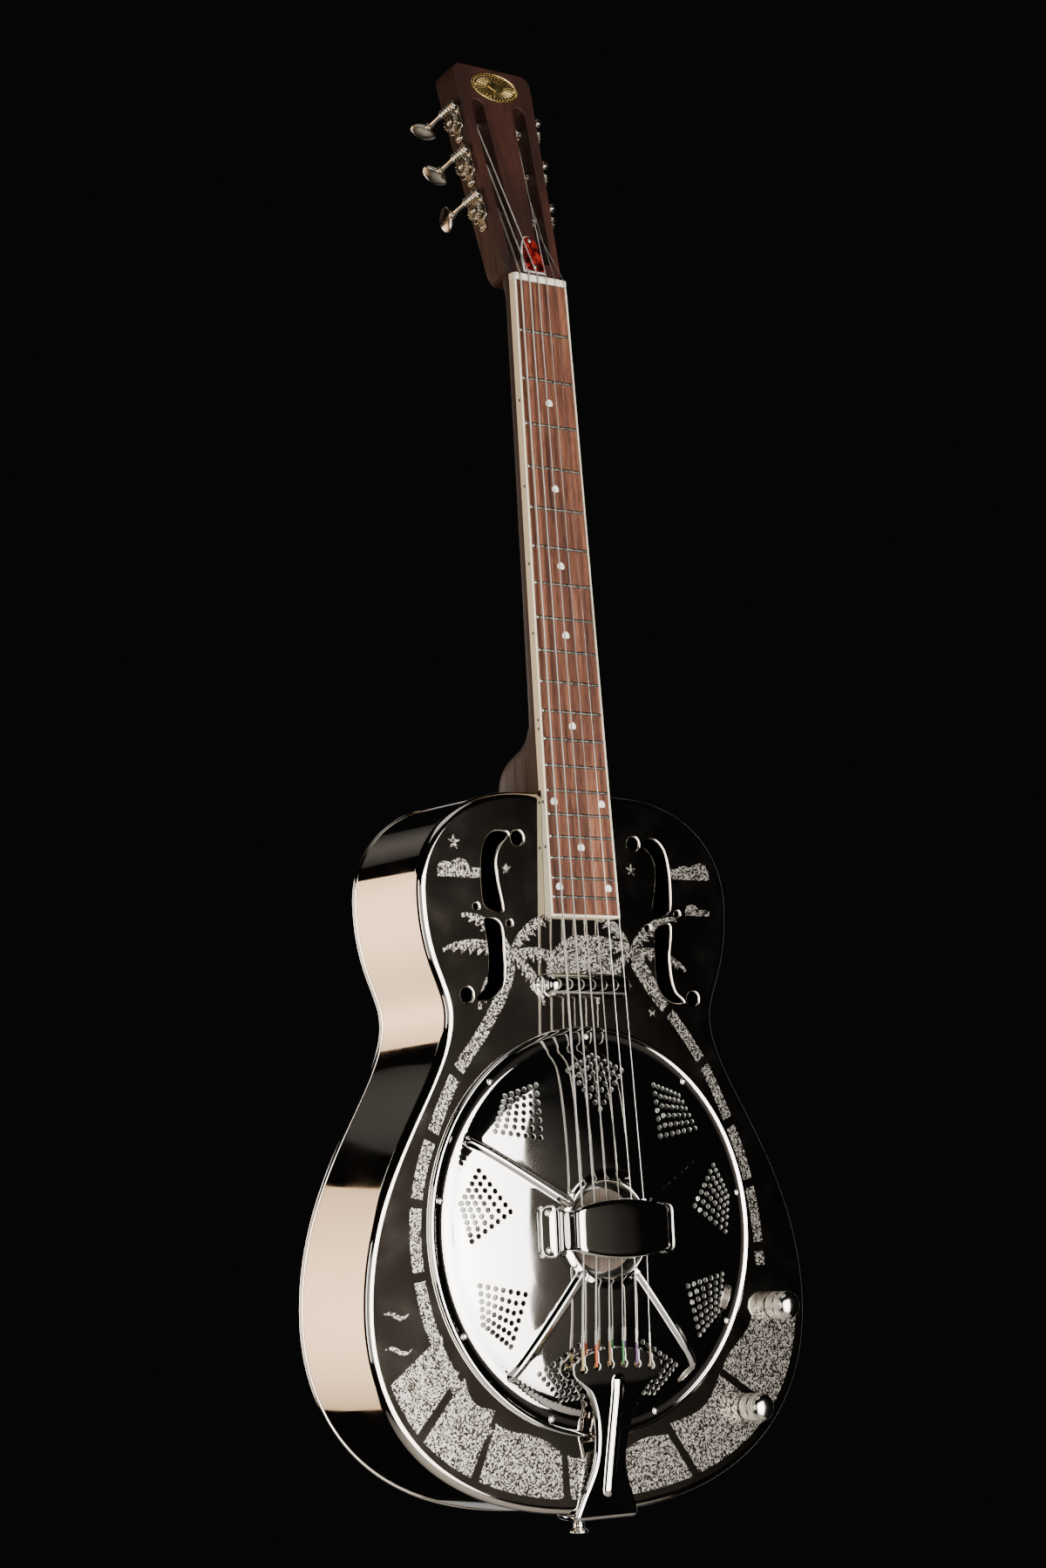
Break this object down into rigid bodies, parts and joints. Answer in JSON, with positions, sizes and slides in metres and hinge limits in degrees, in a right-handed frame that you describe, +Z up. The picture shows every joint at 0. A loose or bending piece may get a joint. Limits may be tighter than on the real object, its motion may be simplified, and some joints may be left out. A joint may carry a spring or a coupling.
{
  "type": "resonator guitar",
  "caption": "Metal-bodied resonator guitar with a single cone under a domed coverplate, a slotted headstock, a tube pickup and two knobs.",
  "frame": {"origin": "the point behind the nut, under the headstock's shoulders, that a wall hanger's fork carries", "axes": "+Z up the neck, -Y out of the front, +X to the player's treble side as seen from the front"},
  "size_m": [0.3743, 0.1302, 1.0226],
  "materials": {
    "nickel_body": "polished nickel plate",
    "chrome_parts": "mirror chrome plate",
    "spun_aluminium": "spun satin",
    "plain_steel": "plain",
    "maple": "oiled maple",
    "mahogany": "gloss lacquer",
    "rosewood": "oiled rosewood",
    "ivory_plastic": "semi-gloss",
    "bone": "polished bone",
    "tortoise": "gloss tortoiseshell pattern",
    "brass": "antique brass",
    "tuner_nickel": "aged nickel plate",
    "string_nickel": "nickel-wound",
    "copper_coil": "enamelled wire"
  },
  "bodies": {
    "guitar": {"badge": "brass", "biscuit": "maple", "biscuit_screw": "plain_steel", "body_back": "nickel_body", "body_sides": "nickel_body", "body_top": "nickel_body", "cone": "spun_aluminium", "coverplate": "chrome_parts", "fretboard": "rosewood", "fretboard_binding": "ivory_plastic", "handrest": "chrome_parts", "neck": "mahogany", "neck_stick": "mahogany", "nut": "bone", "output_jack": "chrome_parts", "pickup_base": "chrome_parts", "pickup_coil": "copper_coil", "pickup_cover": "chrome_parts", "saddle": "maple", "sound_well": "plain_steel", "strap_button": "chrome_parts", "string_1": "string_nickel", "string_2": "string_nickel", "string_3": "string_nickel", "string_4": "string_nickel", "string_5": "string_nickel", "string_6": "string_nickel", "tailpiece": "chrome_parts", "tone_pot": "plain_steel", "truss_rod": "plain_steel", "truss_rod_cover": "tortoise", "tuner_plate_1": "tuner_nickel", "tuner_plate_2": "tuner_nickel", "tuner_plate_3": "tuner_nickel", "tuner_plate_4": "tuner_nickel", "tuner_plate_5": "tuner_nickel", "tuner_plate_6": "tuner_nickel", "volume_pot": "plain_steel"},
    "tuner_key_1": {"tuner_worm_1": "tuner_nickel", "tuner_button_1": "tuner_nickel"},
    "tuner_post_1": {"tuner_gear_1": "tuner_nickel"},
    "tuner_key_2": {"tuner_worm_2": "tuner_nickel", "tuner_button_2": "tuner_nickel"},
    "tuner_post_2": {"tuner_gear_2": "tuner_nickel"},
    "tuner_key_3": {"tuner_worm_3": "tuner_nickel", "tuner_button_3": "tuner_nickel"},
    "tuner_post_3": {"tuner_gear_3": "tuner_nickel"},
    "tuner_key_4": {"tuner_worm_4": "tuner_nickel", "tuner_button_4": "tuner_nickel"},
    "tuner_post_4": {"tuner_gear_4": "tuner_nickel"},
    "tuner_key_5": {"tuner_worm_5": "tuner_nickel", "tuner_button_5": "tuner_nickel"},
    "tuner_post_5": {"tuner_gear_5": "tuner_nickel"},
    "tuner_key_6": {"tuner_worm_6": "tuner_nickel", "tuner_button_6": "tuner_nickel"},
    "tuner_post_6": {"tuner_gear_6": "tuner_nickel"},
    "volume_control": {"volume_knob": "chrome_parts", "volume_shaft": "plain_steel"},
    "tone_control": {"tone_knob": "chrome_parts", "tone_shaft": "plain_steel"}
  },
  "joints": [
    {"name": "key_turn_1", "type": "hinge", "parent": "guitar", "child": "tuner_key_1", "pos_m": [0.03301, 0.01672, 0.07123], "axis": [0, 0.9703, -0.2419], "continuous": true},
    {"name": "post_turn_1", "type": "hinge", "parent": "guitar", "child": "tuner_post_1", "pos_m": [0.02776, 0.01431, 0.06154], "axis": [0.9979, -0.0156, -0.0625], "continuous": true},
    {"name": "key_turn_2", "type": "hinge", "parent": "guitar", "child": "tuner_key_2", "pos_m": [0.0353, 0.02531, 0.10567], "axis": [0, 0.9703, -0.2419], "continuous": true},
    {"name": "post_turn_2", "type": "hinge", "parent": "guitar", "child": "tuner_post_2", "pos_m": [0.03005, 0.0229, 0.09599], "axis": [0.9979, -0.0156, -0.0625], "continuous": true},
    {"name": "key_turn_3", "type": "hinge", "parent": "guitar", "child": "tuner_key_3", "pos_m": [0.03759, 0.0339, 0.14012], "axis": [0, 0.9703, -0.2419], "continuous": true},
    {"name": "post_turn_3", "type": "hinge", "parent": "guitar", "child": "tuner_post_3", "pos_m": [0.03234, 0.03149, 0.13043], "axis": [0.9979, -0.0156, -0.0625], "continuous": true},
    {"name": "key_turn_4", "type": "hinge", "parent": "guitar", "child": "tuner_key_4", "pos_m": [-0.03759, 0.0339, 0.14012], "axis": [0, 0.9703, -0.2419], "continuous": true},
    {"name": "post_turn_4", "type": "hinge", "parent": "guitar", "child": "tuner_post_4", "pos_m": [-0.03234, 0.03149, 0.13043], "axis": [-0.9979, -0.0156, -0.0625], "continuous": true},
    {"name": "key_turn_5", "type": "hinge", "parent": "guitar", "child": "tuner_key_5", "pos_m": [-0.0353, 0.02531, 0.10567], "axis": [0, 0.9703, -0.2419], "continuous": true},
    {"name": "post_turn_5", "type": "hinge", "parent": "guitar", "child": "tuner_post_5", "pos_m": [-0.03005, 0.0229, 0.09599], "axis": [-0.9979, -0.0156, -0.0625], "continuous": true},
    {"name": "key_turn_6", "type": "hinge", "parent": "guitar", "child": "tuner_key_6", "pos_m": [-0.03301, 0.01672, 0.07123], "axis": [0, 0.9703, -0.2419], "continuous": true},
    {"name": "post_turn_6", "type": "hinge", "parent": "guitar", "child": "tuner_post_6", "pos_m": [-0.02776, 0.01431, 0.06154], "axis": [-0.9979, -0.0156, -0.0625], "continuous": true},
    {"name": "volume_turn", "type": "hinge", "parent": "guitar", "child": "volume_control", "pos_m": [0.1565, -0.036, -0.704], "axis": [0, 1, 0], "range_deg": [-150, 150]},
    {"name": "tone_turn", "type": "hinge", "parent": "guitar", "child": "tone_control", "pos_m": [0.128, -0.036, -0.7715], "axis": [0, 1, 0], "range_deg": [-150, 150]}
  ],
  "couplings": [
    {"joint": "post_turn_1", "follows": "key_turn_1", "ratio": -0.0625},
    {"joint": "post_turn_2", "follows": "key_turn_2", "ratio": -0.0625},
    {"joint": "post_turn_3", "follows": "key_turn_3", "ratio": -0.0625},
    {"joint": "post_turn_4", "follows": "key_turn_4", "ratio": 0.0625},
    {"joint": "post_turn_5", "follows": "key_turn_5", "ratio": 0.0625},
    {"joint": "post_turn_6", "follows": "key_turn_6", "ratio": 0.0625}
  ]
}
